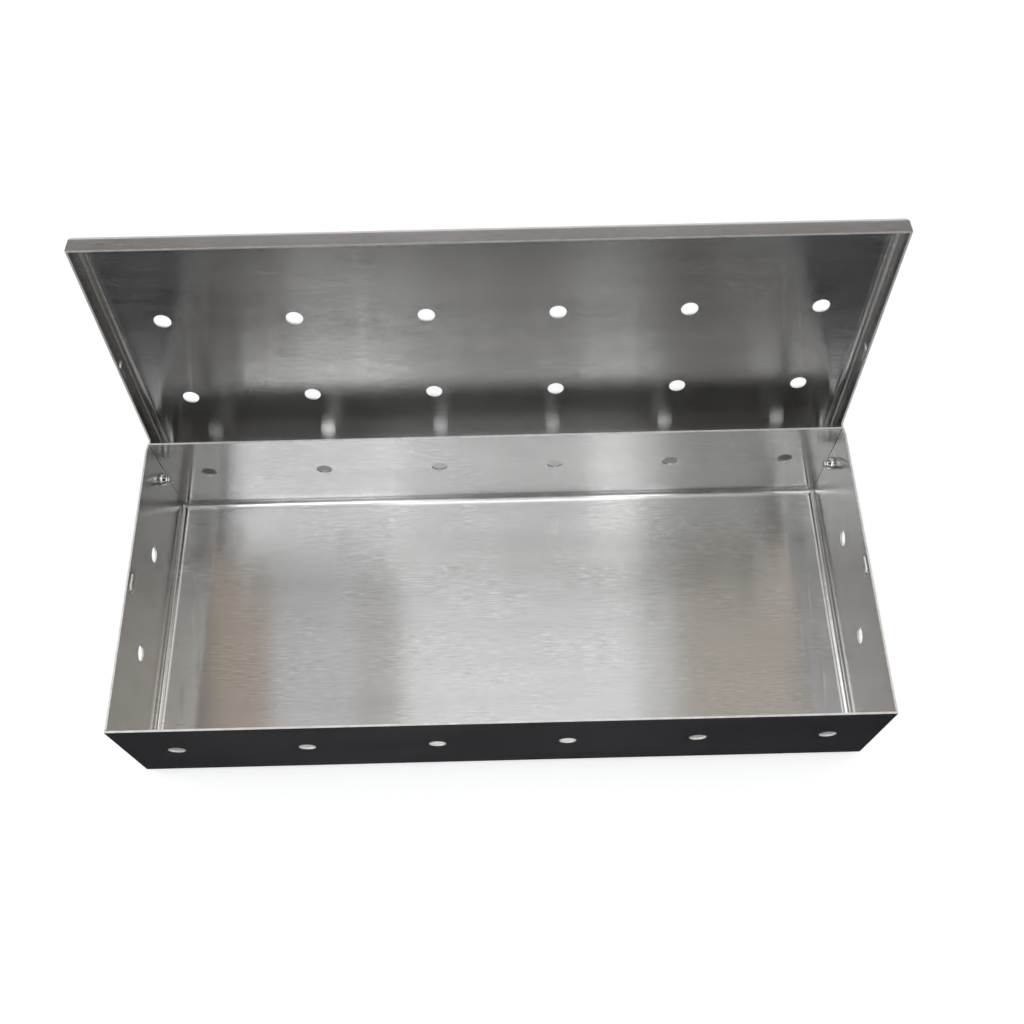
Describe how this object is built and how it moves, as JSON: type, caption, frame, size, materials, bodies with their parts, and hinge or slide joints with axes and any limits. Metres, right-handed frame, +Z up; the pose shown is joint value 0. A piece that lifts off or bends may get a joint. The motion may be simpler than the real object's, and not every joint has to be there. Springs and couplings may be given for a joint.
{
  "type": "grill smoker box",
  "caption": "Long shallow folded-steel box for wood chips, vented on all walls, with a perforated lid that turns on rivets at its rear ends.",
  "frame": {"origin": "middle of the box's underside, on the surface it stands on", "axes": "+X along the box to its right end, +Y to the rear wall with the hinge, +Z up"},
  "size_m": [0.225, 0.1147, 0.1158],
  "materials": {
    "stainless_sheet": "fine brushed, grain along the box's length",
    "rivet_steel": "bright drawn",
    "mandrel_steel": "dull drawn wire"
  },
  "bodies": {
    "box": {"box_body": "stainless_sheet", "hinge_rivet_left": "rivet_steel", "hinge_rivet_right": "rivet_steel", "rivet_mandrel_left": "mandrel_steel", "rivet_mandrel_right": "mandrel_steel"},
    "lid": {"lid": "stainless_sheet"}
  },
  "joints": [
    {"name": "lid_hinge", "type": "hinge", "parent": "box", "child": "lid", "pos_m": [0, 0.04075, 0.0287], "axis": [1, 0, 0], "range_deg": [0, 98]}
  ]
}
